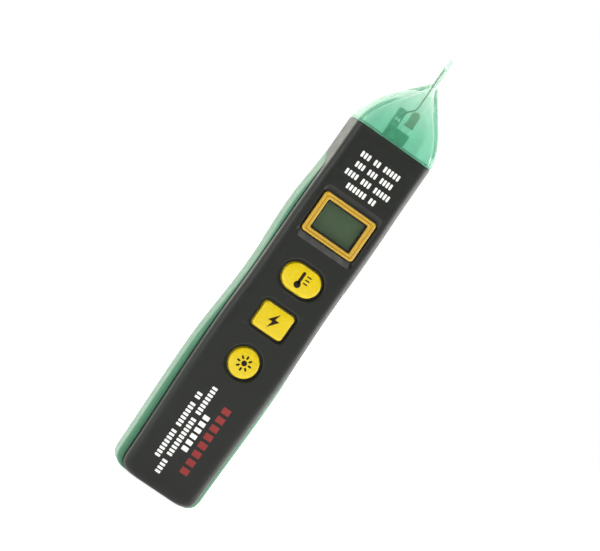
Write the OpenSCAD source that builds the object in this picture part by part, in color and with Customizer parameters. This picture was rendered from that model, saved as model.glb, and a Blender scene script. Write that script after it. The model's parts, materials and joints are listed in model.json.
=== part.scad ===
/* [Body] */
// Height of the two shells, from the tail face to the base of the nose
body_len = 142; // [141:0.5:145]
// Width at the tail end
tail_w = 33.6; // [33:0.1:34]
// Width at the fullest part of the grip
grip_w = 35; // [34.2:0.1:36]
// Width at the waist, between the grip and the display
waist_w = 31.8; // [31.6:0.1:32.4]
// Width beside the display
display_w = 33.1; // [32.6:0.1:33.8]
// Width of the collar that carries the nose
collar_w = 30.4; // [30.2:0.1:31]
// Width of the front shell at the waist
front_w = 30.7; // [30.2:0.1:30.9]
// Depth of the body, from the front face to the back face
body_d = 23; // [23:0.1:24]
// Wall thickness of both shells
wall = 1.8; // [1.7:0.1:1.9]

/* [Nose] */
// Height of the translucent nose above the shells, without its tip
nose_h = 23.6; // [23:0.2:26]
// Distance of the tip from the front face
tip_inset = 4; // [3.8:0.1:6]
// Diameter of the probe tip
tip_d = 2.4; // [2.4:0.1:2.8]
// Length of the probe tip
tip_len = 12.2; // [10:0.2:14]

/* [Display] */
// Width of the display frame
lcd_frame_w = 21.1; // [20.6:0.1:21.4]
// Height of the display frame
lcd_frame_h = 15.6; // [15.2:0.1:16]
// Width of the clear opening
lcd_view_w = 16.3; // [15.5:0.1:16.8]
// Height of the clear opening
lcd_view_h = 11.4; // [10.8:0.1:11.8]

/* [Keys] */
// Width of the thermometer key, which has round ends
thermo_key_w = 14.3; // [13:0.1:14.8]
// Width of the voltage key
volt_key_w = 12; // [11:0.1:12.4]
// Height of the thermometer and voltage keys
key_h = 9.7; // [9:0.1:10]
// Diameter of the backlight key
light_key_d = 10.7; // [9.6:0.1:11]
// How far each key goes in
key_travel = 0.6; // [0.3:0.05:0.7]

/* [Battery cover] */
// Width of the battery cover
cover_w = 23.7; // [23:0.1:24]
// Height of the lower edge of the battery cover
cover_z0 = 9.6; // [9:0.1:10.4]

/* [Hidden] */
$fn = 48;

// Heights of the widest and narrowest places, from the tail face
grip_z = 46;
front_grip_z = 58;
front_grip_w = front_w + 0.9;
waist_z = 83;
display_z = 106;
shoulder_z = body_len - 11;

// Outline of each shell in the front view: height and full width at each turning point
rear_widths = [
    [0, tail_w], [grip_z, grip_w], [waist_z, waist_w], [display_z, display_w],
    [shoulder_z, collar_w], [body_len, collar_w]
];
front_widths = [
    [0, front_w - 1.5], [front_grip_z, front_grip_w], [waist_z, front_w], [display_z, front_w + 0.3],
    [shoulder_z, collar_w], [body_len, collar_w]
];
// The rear cavity narrows beside the display, so that its rim meets the front shell's wall
rear_cavity_widths = [
    [0, tail_w - 2 * wall], [grip_z, grip_w - 2 * wall], [waist_z, waist_w - 2 * wall],
    [display_z, front_w - 2 * wall], [shoulder_z, collar_w - 2 * wall], [body_len, collar_w - 2 * wall]
];
outline_step = 6;
tail_corner_r = 4.5;
tail_edge_r = 2.7;
front_edge_r = 4.8;
back_edge_r = 6;
front_y = -body_d / 2;
back_y = body_d / 2;
front_inner_y = front_y + wall;
back_inner_y = back_y - wall;

// The line where the shells meet runs down the sides near the front, and sweeps to the back below the collar
part_y = front_y + 8;
part_gap = 0.15;
sweep_z0 = shoulder_z - 9;
sweep_z1 = shoulder_z + 3;
sweep_end_y = back_y + 5;
rim_reach = 1.4;
ledge_t = 1.85;

// Case screws: two pairs of corners and a pair beside the voltage key
screw_places = [[-11.3, 6], [11.3, 6], [-11.3, 69.5], [11.3, 69.5], [-10.5, 122], [10.5, 122]];
boss_r = 2.3;
boss_end_y = 0.4;
pilot_r = 1;
post_r = 2.6;
screw_seat_y = 5;
screw_head_r = 1.9;
screw_head_t = 1.5;
screw_shank_r = 0.95;
screw_len = 9.5;
screw_slot = [2.2, 1.6, 0.5];

// Circuit board and what it carries
board_front_y = front_y + 7.3;
board_t = 1.6;
board_back_y = board_front_y + board_t;
board_w = 24;
board_z0 = 9;
board_z1 = body_len - 2;
board_neck_w = 21.6;
board_neck_len = 20;
tongue_x = -3.3;
tongue_w = 2.9;
tongue_top = body_len + 12;
seat_gap = 0.05;

// Parts on the back of the board: place (x, z), and size across, along and off the board
solder_gap = 0.02;
chip_place = [0, 96];
chip_size = [10, 10, 1.5];
crystal_place = [-8.4, 84];
crystal_size = [3.2, 8, 2.4];
resistor_place = [8.6, 84];
resistor_size = [2, 1.2, 0.55];
resistor_pitch = 3.2;
resistor_count = 6;
capacitor_place = [-6, 107];
capacitor_size = [1.6, 3.2, 1.2];
capacitor_pitch = 4;
capacitor_count = 4;
buzzer_z = 80;
buzzer_r = 4.8;
buzzer_t = 4.6;
buzzer_port_r = 0.8;
buzzer_port_depth = 1;

// Display stack, from the front
lcd_z = 108.8;
pad_w = lcd_frame_w + 1.5;
pad_h = 20.4;
pad_depth = 0.5;
pad_r = 1.8;
frame_r = 1.2;
frame_front_y = front_y - 0.25;
frame_bar_t = 1.15;
frame_flange = 0.9;
frame_flange_t = 0.7;
frame_back_y = front_inner_y + 0.1 + frame_flange_t;
frame_seat_w = lcd_view_w + 1.7;
frame_seat_h = lcd_view_h + 1.7;
window_t = 0.9;
lcd_glass_w = 20;
lcd_glass_h = 15.5;
lcd_glass_t = 2;
zebra_h = 1.6;

// Keys and switches
key_places = [86.6, 70, 52.6];
key_front_y = front_y - 0.6;
key_clearance = 0.25;
key_ring = 0.85;
key_ring_depth = 0.7;
key_flange = 1.2;
key_flange_t = 0.8;
key_post_r = 2;
square_key_r = 1.4;
key_flange_y = front_inner_y + 0.1;
plunger_front_y = front_inner_y + 1.3;
plunger_r = 1.75;
plunger_len = 1.5;
switch_size = 6.2;
switch_front_y = board_front_y - 3.4;
switch_bore_depth = plunger_front_y + plunger_len - switch_front_y + key_travel + 0.2;

// Batteries: two AAA cells, side by side, one each way up
cell_r = 5.25;
cell_len = 44.5;
nub_r = 1.9;
nub_len = 0.8;
cell_x = 5.6;
cell_y = 4.1;
spring_len = 3.55;
contact_t = 0.4;
bay_z0 = 13.6;
bay_z1 = bay_z0 + 2 * contact_t + cell_len + spring_len + 2 * seat_gap;
tray_floor_y = -2.35;
tray_floor_t = 1;
tray_side_t = 1.5;
bulkhead_t = 1.4;
bulkhead_top_y = 7.4;
contact_y0 = -1;
contact_y1 = 7.2;
tail_slot_w = 2.6;
spring_wire_r = 0.35;
spring_turns = 4;
spring_r0 = 3.9;
spring_r1 = 2.1;
contact_w = 9.2;
contact_tail_w = 2;

// Battery cover and its opening; it turns on its upper outer edge
cover_t = 1.4;
cover_gap = 0.15;
cover_z1 = bay_z1 + bulkhead_t + 0.4;
tab_x = 6.5;
tab_w = 3;
tab_t = 1;
tab_reach = 2.4;
cover_pad_t = 0.7;
cover_pad_margin = 6;
grip_grooves = 5;
grip_groove_w = 12;
grip_groove_h = 0.9;
grip_groove_depth = 0.5;
grip_groove_pitch = 1.8;
grip_groove_z = cover_z0 + 2.4;

// Infrared sensor in the tail
ir_y = 5;
ir_z = 0.3;
ir_mouth_depth = 1.4;
ir_hole_r = 4;
ir_tube_len = 3.9;
ir_bore_r = 2.4;
ir_lens_t = 0.8;
ir_can_r = 2.35;
ir_can_len = 2.4;
ir_flange = 0.7;
ir_lens_z = ir_z + ir_tube_len + 0.02;
ir_can_z = ir_lens_z + ir_lens_t + 0.08;
ir_base_t = 0.3;
ir_base_rim = 0.4;
sensor_lead_pitch = 1.3;
sensor_lead_r = 0.2;

// Nose
tip_y = front_y + tip_inset;
skirt_depth = 4;
skirt_t = 1.4;
skirt_gap = 0.15;
nose_wall = 1.6;
nose_n = 40;
nose_rings = 14;
nose_curve = 1.2;
nose_corner = 2.6;
tip_root = 3;
tip_bore_root = 6;
tip_bore_r = 0.7;
tip_bore_end = 4.4;
aerial_r = 0.3;
aerial_x = -0.35;
led_x = 1;
led_y = board_front_y - 1.7;
led_z = body_len + 7.6;
led_r = 1.5;
led_h = 6;
led_rim = 0.35;
led_rim_t = 0.8;
lead_x = 1.27;
lead_r = 0.25;
lead_z0 = body_len - 3;
holder_x0 = led_x - 4.5;
holder_x1 = led_x + 2.1;
holder_y0 = led_y - 1.7;
holder_z0 = body_len - 5;
holder_z1 = body_len + 5.3;

big = 60;
overlap = 0.4;

// ---- Shared shapes

function ease(t) = (1 - cos(180 * max(0, min(1, t)))) / 2;

// Width of an outline at height z, easing from one turning point to the next
function width_at(s, z, i = 0) =
    i >= len(s) - 2 || z <= s[i + 1][0]
    ? s[i][1] + (s[i + 1][1] - s[i][1]) * ease((z - s[i][0]) / (s[i + 1][0] - s[i][0]))
    : width_at(s, z, i + 1);

// Right half of a shell outline as (x, z): a rounded corner at the tail, then the eased side
function half_outline(s, inset, z0, z1, r) = concat(
    [for (a = [0 : 15 : 90])
        [width_at(s, z0 + r) / 2 - inset - r + r * sin(a), z0 + r - r * cos(a)]],
    [for (z = [z0 + r + outline_step : outline_step : z1 - 1]) [width_at(s, z) / 2 - inset, z]],
    [[width_at(s, z1) / 2 - inset, z1]]
);

module body_outline(s, inset = 0, z0 = 0, z1 = body_len, r = tail_corner_r) {
    right = half_outline(s, inset, z0, z1, r);
    polygon(concat(right, [for (i = [len(right) - 1 : -1 : 0]) [-right[i][0], right[i][1]]]));
}

function arc(cx, cy, r, a0) = [for (a = [a0 : 15 : a0 + 90]) [cx + r * cos(a), cy + r * sin(a)]];

// Rectangle from y0 to y1 with its own corner radius at each end
module rounded_section(w, y0, y1, r0, r1) {
    polygon(concat(
        arc(w / 2 - r1, y1 - r1, r1, 0), arc(-w / 2 + r1, y1 - r1, r1, 90),
        arc(-w / 2 + r0, y0 + r0, r0, 180), arc(w / 2 - r0, y0 + r0, r0, 270)
    ));
}

module rounded_rect(w, h, r) {
    rounded_section(w, -h / 2, h / 2, r, r);
}

// Gives a front-view outline (x, z) its thickness from y0 to y1
module slab(y0, y1) {
    translate([0, y1, 0]) rotate([90, 0, 0]) linear_extrude(y1 - y0) children();
}

// Gives a side-view outline (y, z) its thickness right across the body
module across() {
    translate([-big / 2, 0, 0]) rotate([90, 0, 90]) linear_extrude(big) children();
}

module box(x0, x1, y0, y1, z0, z1) {
    translate([x0, y0, z0]) cube([x1 - x0, y1 - y0, z1 - z0]);
}

// A round bar or hole running front to back
module rod_y(x, z, y0, y1, r) {
    translate([x, y1, z]) rotate([90, 0, 0]) cylinder(h = y1 - y0, r = r);
}

// A solid through rings of n points each, one above the other
module ring_solid(points, n) {
    last = len(points) / n - 1;
    polyhedron(points, concat(
        [[for (k = [0 : n - 1]) k]],
        [[for (k = [n - 1 : -1 : 0]) last * n + k]],
        [for (i = [0 : last - 1]) for (k = [0 : n - 1])
            [i * n + k, (i + 1) * n + k, (i + 1) * n + (k + 1) % n]],
        [for (i = [0 : last - 1]) for (k = [0 : n - 1])
            [i * n + k, (i + 1) * n + (k + 1) % n, i * n + (k + 1) % n]]
    ));
}

function unit(v) = v / norm(v);

// A wire of radius r along the points p; side is a direction that the wire never runs along
module wire(p, r, side, n = 8) {
    ring_solid([
        for (i = [0 : len(p) - 1])
            let (
                t = unit(p[min(i + 1, len(p) - 1)] - p[max(i - 1, 0)]),
                u = unit(cross(side, t)),
                v = cross(t, u)
            )
            for (k = [0 : n - 1]) p[i] + r * (cos(360 * k / n) * u + sin(360 * k / n) * v)
    ], n);
}

// ---- Shells

function part_line(z) = part_y + (sweep_end_y - part_y) * ease((z - sweep_z0) / (sweep_z1 - sweep_z0));

function part_curve(shift) = [for (z = [sweep_z0 : 1 : sweep_z1]) [part_line(z) + shift, z]];

module front_zone() {
    polygon(concat(
        [[-big, -1], [part_y, -1]], part_curve(0), [[sweep_end_y, body_len + 1], [-big, body_len + 1]]
    ));
}

module rear_zone() {
    polygon(concat([[part_y + part_gap, -1]], part_curve(part_gap), [[big, sweep_z1], [big, -1]]));
}

// Side view of the whole body, with its tail edges rounded
module side_profile() {
    polygon(concat(
        [[back_y, body_len], [front_y, body_len]],
        arc(front_y + tail_edge_r, tail_edge_r, tail_edge_r, 180),
        arc(back_y - tail_edge_r, tail_edge_r, tail_edge_r, 270)
    ));
}

module front_solid() {
    intersection() {
        slab(front_y, back_y) body_outline(front_widths);
        linear_extrude(body_len) rounded_section(front_grip_w, front_y, back_y, front_edge_r, back_edge_r);
        across() intersection() {
            side_profile();
            front_zone();
        }
    }
}

module front_cavity() {
    intersection() {
        slab(front_inner_y, back_inner_y)
            body_outline(front_widths, inset = wall, z0 = wall, z1 = body_len + 1, r = tail_corner_r - wall);
        translate([0, 0, wall]) linear_extrude(body_len)
            rounded_section(front_grip_w - 2 * wall, front_inner_y, back_inner_y,
                front_edge_r - wall, back_edge_r - wall);
    }
}

module key_outline(i, grow = 0) {
    if (i == 0)
        rounded_rect(thermo_key_w + 2 * grow, key_h + 2 * grow, key_h / 2 + grow - 0.01);
    else if (i == 1)
        rounded_rect(volt_key_w + 2 * grow, key_h + 2 * grow, square_key_r + grow);
    else
        circle(light_key_d / 2 + grow);
}

module at_key(i) {
    translate([0, key_places[i]]) children();
}

module front_shell() color("#2c2e2b") difference() {
    union() {
        difference() {
            front_solid();
            front_cavity();
        }
        for (p = screw_places) rod_y(p[0], p[1], front_inner_y - overlap, boss_end_y, boss_r);
    }
    for (p = screw_places) rod_y(p[0], p[1], screw_seat_y - screw_len - 1, boss_end_y + 1, pilot_r);
    for (i = [0 : 2]) {
        slab(front_y - 1, front_inner_y + 1) at_key(i) key_outline(i, key_clearance);
        slab(front_y - 1, front_y + key_ring_depth) at_key(i) key_outline(i, key_ring);
    }
    slab(front_y - 1, front_y + pad_depth) translate([0, lcd_z]) rounded_rect(pad_w, pad_h, pad_r);
    slab(front_y - 1, front_inner_y + 1) translate([0, lcd_z])
        rounded_rect(lcd_frame_w + 0.2, lcd_frame_h + 0.2, frame_r + 0.1);
}

module rear_solid() {
    intersection() {
        slab(part_y, back_y) body_outline(rear_widths);
        linear_extrude(body_len) rounded_section(grip_w, front_y, back_y, 1, back_edge_r);
        across() intersection() {
            side_profile();
            rear_zone();
        }
    }
    slab(part_y - rim_reach, part_y + part_gap + overlap) difference() {
        body_outline(rear_widths, z1 = sweep_z0 - 1);
        body_outline(front_widths, inset = -part_gap, z0 = -1);
    }
}

module rear_cavity() {
    intersection() {
        slab(part_y + ledge_t, back_inner_y)
            body_outline(rear_cavity_widths, z0 = wall, z1 = body_len + 1, r = tail_corner_r - wall);
        linear_extrude(body_len)
            rounded_section(grip_w - 2 * wall, front_y, back_inner_y, 1, back_edge_r - wall);
    }
    slab(part_y - 0.5, part_y + ledge_t + overlap)
        body_outline(front_widths, inset = wall, z0 = wall, z1 = body_len + 1, r = tail_corner_r - wall);
}

// Tray for the cells: a floor, two side walls and two end walls, joined to the back wall
module battery_tray() {
    side = 2 * cell_x + 0.1;
    z0 = bay_z0 - bulkhead_t;
    z1 = bay_z1 + bulkhead_t;
    box(-side - tray_side_t + 0.5, side + tray_side_t - 0.5, tray_floor_y, tray_floor_y + tray_floor_t, z0, z1);
    for (m = [-1, 1])
        box(min(m * side, m * (side + tray_side_t)), max(m * side, m * (side + tray_side_t)),
            tray_floor_y, back_inner_y + overlap, z0, z1);
    for (z = [z0, bay_z1]) box(-side - overlap, side + overlap, tray_floor_y, bulkhead_top_y, z, z + bulkhead_t);
}

module rear_shell() color("#5f9f80") difference() {
    union() {
        difference() {
            rear_solid();
            rear_cavity();
            for (p = screw_places) rod_y(p[0], p[1], front_y, boss_end_y + 0.1, boss_r + 0.2);
        }
        for (p = screw_places) rod_y(p[0], p[1], boss_end_y + 0.2, back_inner_y + overlap, post_r);
        battery_tray();
    }
    for (p = screw_places) {
        rod_y(p[0], p[1], screw_seat_y, back_y + 1, screw_head_r + 0.2);
        rod_y(p[0], p[1], 0, screw_seat_y + 1, screw_shank_r + 0.2);
    }
    slab(back_y - cover_t - 0.05, back_y + 1) translate([0, (cover_z0 + cover_z1) / 2])
        square([cover_w + 2 * cover_gap, cover_z1 - cover_z0 + 2 * cover_gap], center = true);
    box(-2 * cell_x, 2 * cell_x, bulkhead_top_y + 0.1, back_y, bay_z0 - 0.2, cover_z1 + cover_gap);
    for (m = [-1, 1])
        box(m * cell_x - tail_slot_w / 2, m * cell_x + tail_slot_w / 2,
            tray_floor_y - 1, 0, bay_z1 - contact_t - 0.15, bay_z1 + 0.1);
    translate([0, ir_y, -1]) cylinder(h = wall + 2, r = ir_hole_r + 0.1);
}

module battery_cover() color("#5a9a7b") {
    mid = (cover_z0 + cover_z1) / 2;
    difference() {
        union() {
            slab(back_y - cover_t, back_y) translate([0, mid])
                square([cover_w, cover_z1 - cover_z0], center = true);
            slab(back_y - cover_t - cover_pad_t, back_y - cover_t + 0.2) translate([0, mid])
                square([4 * cell_x - 0.6, cover_z1 - cover_z0 - 2 * cover_pad_margin], center = true);
        }
        for (m = [-1, 1])
            translate([m * cell_x, cell_y, 0]) cylinder(h = big * 2, r = cell_r + 0.2);
        for (i = [0 : grip_grooves - 1]) {
            z = grip_groove_z + grip_groove_pitch * i;
            box(-grip_groove_w / 2, grip_groove_w / 2, back_y - grip_groove_depth, back_y + 1, z, z + grip_groove_h);
        }
    }
    for (m = [-1, 1]) {
        x0 = m * tab_x - tab_w / 2;
        box(x0, x0 + tab_w, back_inner_y - cover_gap - tab_t, back_inner_y - cover_gap,
            cover_z1 - 2, cover_z1 + tab_reach);
        box(x0, x0 + tab_w, back_inner_y - cover_gap - tab_t, back_y - cover_t + 0.2,
            cover_z1 - 2, cover_z1);
    }
}

module case_screws() color("#b9bbbd") {
    for (p = screw_places) difference() {
        union() {
            rod_y(p[0], p[1], screw_seat_y, screw_seat_y + screw_head_t, screw_head_r);
            rod_y(p[0], p[1], screw_seat_y - screw_len, screw_seat_y + 0.5, screw_shank_r);
        }
        for (turn = [0, 90])
            translate([p[0], screw_seat_y + screw_head_t, p[1]]) rotate([0, turn, 0])
                cube(screw_slot, center = true);
    }
}

// ---- Nose

// Half sizes of the nose at height t, from 0 at its base to 1 where the tip starts
function nose_half(t, base, tip) = tip + (base - tip) * pow(1 - pow(t, 2), nose_curve);

// One ring of the nose: a rounded rectangle at the base that becomes round at the tip
function nose_ring(t, inset) = let (
        neck = tip_d / 2 + 0.7 - inset / 2,
        a = nose_half(t, collar_w / 2 - inset, neck),
        b = nose_half(t, body_d / 2 - inset, neck),
        c = tip_y * (body_d / 2 - inset - b) / (body_d / 2 - inset - neck),
        p = 2 / (2 + nose_corner * pow(1 - t, 0.6))
    )
    [for (k = [0 : nose_n - 1]) let (q = 360 * (k + 0.5) / nose_n)
        [a * sign(cos(q)) * pow(abs(cos(q)), p), c + b * sign(sin(q)) * pow(abs(sin(q)), p),
            body_len + (nose_h - inset * 1.1) * t]];

module nose_hull(inset) {
    ring_solid([for (i = [0 : nose_rings]) each nose_ring(1 - pow(1 - i / nose_rings, 1.5), inset)], nose_n);
}

module nose_cap() color([0.4, 0.8, 0.62, 0.6]) {
    tip_top = body_len + nose_h + tip_len;
    w = collar_w - 2 * wall - 2 * skirt_gap;
    y0 = front_inner_y + skirt_gap;
    y1 = back_inner_y - skirt_gap;
    difference() {
        union() {
            nose_hull(0);
            translate([0, tip_y, body_len + nose_h - tip_root])
                cylinder(h = tip_len + tip_root - tip_d / 2, r = tip_d / 2);
            translate([0, tip_y, tip_top - tip_d / 2]) sphere(tip_d / 2);
            translate([0, 0, body_len - skirt_depth]) linear_extrude(skirt_depth + 0.1)
                rounded_section(w, y0, y1, front_edge_r - wall, back_edge_r - wall);
        }
        translate([0, 0, -0.2]) nose_hull(nose_wall);
        translate([0, 0, body_len - skirt_depth - 1]) linear_extrude(skirt_depth + 1.2)
            rounded_section(w - 2 * skirt_t, y0 + skirt_t, y1 - skirt_t, 1, 2.6);
        translate([0, tip_y, body_len + nose_h - tip_bore_root])
            cylinder(h = tip_bore_root + tip_len - tip_bore_end, r = tip_bore_r);
    }
}

// ---- Display

module lcd_frame() color("#d6a42a") difference() {
    union() {
        slab(frame_front_y, frame_back_y) translate([0, lcd_z]) rounded_rect(lcd_frame_w, lcd_frame_h, frame_r);
        slab(frame_back_y - frame_flange_t, frame_back_y) translate([0, lcd_z])
            rounded_rect(lcd_frame_w + 2 * frame_flange, lcd_frame_h + 2 * frame_flange, frame_r);
    }
    slab(frame_front_y - 1, frame_back_y + 1) translate([0, lcd_z]) rounded_rect(lcd_view_w, lcd_view_h, frame_r / 2);
    slab(frame_front_y + frame_bar_t, frame_back_y + 1) translate([0, lcd_z])
        square([frame_seat_w, frame_seat_h], center = true);
}

module lcd_window() color([0.85, 0.9, 0.88, 0.35])
    slab(frame_front_y + frame_bar_t + seat_gap, frame_front_y + frame_bar_t + seat_gap + window_t)
        translate([0, lcd_z]) square([frame_seat_w - 0.2, frame_seat_h - 0.2], center = true);

module lcd_panel() color("#566048")
    slab(frame_back_y + seat_gap, frame_back_y + seat_gap + lcd_glass_t)
        translate([0, lcd_z]) square([lcd_glass_w, lcd_glass_h], center = true);

module backlight_panel() color("#e9eef0")
    slab(frame_back_y + lcd_glass_t + 2 * seat_gap, board_front_y - seat_gap)
        translate([0, lcd_z]) square([lcd_glass_w - 2, lcd_glass_h - 2 * zebra_h - 0.8], center = true);

module zebra_strips() color("#c9a5b0") {
    for (m = [-1, 1])
        slab(frame_back_y + lcd_glass_t + 2 * seat_gap, board_front_y - seat_gap)
            translate([0, lcd_z + m * (lcd_glass_h - zebra_h) / 2]) square([lcd_glass_w - 1, zebra_h], center = true);
}

// ---- Keys and switches

module key(i) color("#f2d51c") {
    slab(key_front_y, key_flange_y + 0.1) at_key(i) key_outline(i);
    slab(key_flange_y, key_flange_y + key_flange_t) at_key(i) key_outline(i, key_flange);
    rod_y(0, key_places[i], key_flange_y + key_flange_t - 0.1, plunger_front_y - seat_gap, key_post_r);
}

module thermometer_key() key(0);

module voltage_key() key(1);

module light_key() key(2);

module plunger(i) color("#3a3a3c") {
    rod_y(0, key_places[i], plunger_front_y, plunger_front_y + plunger_len, plunger_r);
}

module thermometer_plunger() plunger(0);

module voltage_plunger() plunger(1);

module light_plunger() plunger(2);

module switch_housings() color("#1d1d1f") {
    for (z = key_places) difference() {
        slab(switch_front_y, board_front_y - seat_gap) translate([0, z]) square(switch_size, center = true);
        rod_y(0, z, switch_front_y - 1, switch_front_y + switch_bore_depth, plunger_r + 0.08);
    }
}

// ---- Circuit board

module circuit_board() color("#2f6b45") difference() {
    union() {
        slab(board_front_y, board_back_y) translate([-board_w / 2, board_z0])
            square([board_w, board_z1 - board_z0 - board_neck_len]);
        slab(board_front_y, board_back_y) translate([-board_neck_w / 2, board_z1 - board_neck_len - overlap])
            square([board_neck_w, board_neck_len + overlap]);
        slab(board_front_y, board_back_y) translate([tongue_x - tongue_w / 2, board_z1 - overlap])
            square([tongue_w, tongue_top - board_z1 + overlap]);
    }
    for (p = screw_places) rod_y(p[0], p[1], board_front_y - 1, board_back_y + 1, boss_r + 0.3);
}

module on_board(place, size) {
    box(place[0] - size[0] / 2, place[0] + size[0] / 2, board_back_y + solder_gap, board_back_y + size[2],
        place[1] - size[1] / 2, place[1] + size[1] / 2);
}

module controller_chip() color("#232427") on_board(chip_place, chip_size);

module clock_crystal() color("#c9ccce") on_board(crystal_place, crystal_size);

module board_resistors() color("#2b2b30") {
    for (i = [0 : resistor_count - 1]) on_board(resistor_place + [0, resistor_pitch * i], resistor_size);
}

module board_capacitors() color("#b48a5c") {
    for (i = [0 : capacitor_count - 1]) on_board(capacitor_place + [capacitor_pitch * i, 0], capacitor_size);
}

module buzzer() color("#1b1b1d") difference() {
    rod_y(0, buzzer_z, board_back_y + solder_gap, board_back_y + buzzer_t, buzzer_r);
    rod_y(0, buzzer_z, board_back_y + buzzer_t - buzzer_port_depth, board_back_y + buzzer_t + 1, buzzer_port_r);
}

// ---- Nose electronics

module nose_led() color([0.75, 0.52, 0.35, 0.8]) translate([led_x, led_y, led_z]) {
    cylinder(h = led_rim_t, r = led_r + led_rim);
    cylinder(h = led_h - led_r, r = led_r);
    translate([0, 0, led_h - led_r]) sphere(led_r);
}

module led_leads() color("#c4c7c9") {
    for (m = [-1, 1])
        translate([led_x + m * lead_x, led_y, lead_z0]) cylinder(h = led_z - lead_z0 - solder_gap, r = lead_r);
}

module led_holder() color("#2c6a48") difference() {
    box(holder_x0, holder_x1, holder_y0, board_front_y - seat_gap, holder_z0, holder_z1);
    for (m = [-1, 1])
        translate([led_x + m * lead_x, led_y, holder_z0 - 1])
            cylinder(h = holder_z1 - holder_z0 + 2, r = lead_r + 0.08);
}

// The aerial: a bare wire from the board's tongue up into the bore of the tip
module antenna_wire() color("#c07a45") {
    y = board_front_y - aerial_r - 0.05;
    z = body_len + nose_h;
    wire([
        [tongue_x, y, tongue_top - 5], [tongue_x, y, tongue_top - 3],
        [tongue_x + 1.2, (y + tip_y) / 2, tongue_top - 0.2], [aerial_x - 0.5, tip_y, tongue_top + 1.4],
        [aerial_x, tip_y, tongue_top + 3], [aerial_x, tip_y, z + tip_len - tip_bore_end - 0.4]
    ], aerial_r, [0, 1, 0]);
}

// ---- Infrared sensor

module on_ir_axis(z) {
    translate([0, ir_y, z]) children();
}

module ir_tube() color("#17181a") on_ir_axis(ir_z) difference() {
    union() {
        cylinder(h = ir_tube_len, r = ir_hole_r);
        translate([0, 0, wall + 0.1 - ir_z]) cylinder(h = ir_tube_len - wall - 0.1 + ir_z, r = ir_hole_r + ir_flange);
    }
    translate([0, 0, -1]) cylinder(h = ir_tube_len + 2, r = ir_bore_r);
    translate([0, 0, -0.01]) cylinder(h = ir_mouth_depth, r1 = ir_hole_r - 0.5, r2 = ir_bore_r);
}

module ir_lens() color([0.25, 0.22, 0.22, 0.8])
    on_ir_axis(ir_lens_z) cylinder(h = ir_lens_t, r = ir_hole_r);

module ir_sensor() color("#cfd1d2") on_ir_axis(ir_can_z) {
    cylinder(h = ir_can_len, r = ir_can_r);
    translate([0, 0, ir_can_len - ir_base_t]) cylinder(h = ir_base_t + 0.1, r = ir_can_r + ir_base_rim);
}

module sensor_leads() color("#c4c7c9") {
    z = ir_can_z + ir_can_len + 0.1 + solder_gap;
    top = board_z0 + 1.5;
    for (x = [-1, 0, 1] * sensor_lead_pitch)
        wire([[x, ir_y, z], [x, ir_y, top - 1.1], [x, ir_y - 0.9, top - 0.2], [x, board_back_y + 1.2, top],
            [x, board_back_y + solder_gap, top]], sensor_lead_r, [1, 0, 0]);
}

// ---- Batteries and contacts

module cell(z0, up) color("#7f8486") translate([0, 0, z0]) {
    body = cell_len - nub_len;
    translate([0, 0, up ? 0 : nub_len]) cylinder(h = body, r = cell_r);
    translate([0, 0, up ? body - 1 : 0]) cylinder(h = nub_len + 1, r = nub_r);
}

module battery_left() translate([-cell_x, cell_y, 0])
    cell(bay_z0 + contact_t + seat_gap + spring_len, true);

module battery_right() translate([cell_x, cell_y, 0])
    cell(bay_z0 + contact_t + seat_gap, false);

// A tapered coil whose wide end stands on a contact plate
module battery_spring(dir) {
    steps = 14 * spring_turns;
    height = spring_len - 2 * spring_wire_r;
    wire([
        for (i = [0 : steps])
            let (
                f = i / steps,
                a = 360 * spring_turns * f,
                r = spring_r0 + (spring_r1 - spring_r0) * f
            )
            [r * cos(a), r * sin(a), dir * (spring_wire_r + height * f)]
    ], spring_wire_r, [0, 0, 1], 6);
}

module battery_springs() color("#c8cacc") {
    translate([-cell_x, cell_y, bay_z0 + contact_t + seat_gap / 2]) battery_spring(1);
    translate([cell_x, cell_y, bay_z1 - contact_t - seat_gap / 2]) battery_spring(-1);
}

module link_contact() color("#c2c4c6")
    box(-2 * cell_x + 0.6, 2 * cell_x - 0.6, contact_y0, contact_y1, bay_z0, bay_z0 + contact_t);

// A plate with a tail that passes the tray floor and is soldered to the board
module top_contact(x) color("#c2c4c6") {
    box(x - contact_w / 2, x + contact_w / 2, contact_y0, contact_y1, bay_z1 - contact_t, bay_z1);
    box(x - contact_tail_w / 2, x + contact_tail_w / 2, board_back_y + solder_gap, contact_y0 + overlap,
        bay_z1 - contact_t, bay_z1);
}

module positive_contact() top_contact(-cell_x);

module negative_contact() top_contact(cell_x);

front_shell();
rear_shell();
nose_cap();
lcd_frame();
lcd_window();
lcd_panel();
backlight_panel();
zebra_strips();
thermometer_key();
voltage_key();
light_key();
switch_housings();
thermometer_plunger();
voltage_plunger();
light_plunger();
circuit_board();
nose_led();
led_leads();
led_holder();
antenna_wire();
buzzer();
controller_chip();
clock_crystal();
board_resistors();
board_capacitors();
ir_tube();
ir_lens();
ir_sensor();
sensor_leads();
battery_left();
battery_right();
battery_springs();
link_contact();
positive_contact();
negative_contact();
battery_cover();
case_screws();
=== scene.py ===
"""Looks of the pen-shaped voltage tester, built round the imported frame.

Shapes are worked out in millimetres in the frame's own axes and turned into metres when a piece is placed:
+Z runs from the tail to the probe tip, -Y out of the face with the display, +X to the right of that face.
"""
import json
import math

import bmesh
import bpy
import numpy as np
from mathutils import Matrix, Vector


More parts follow.
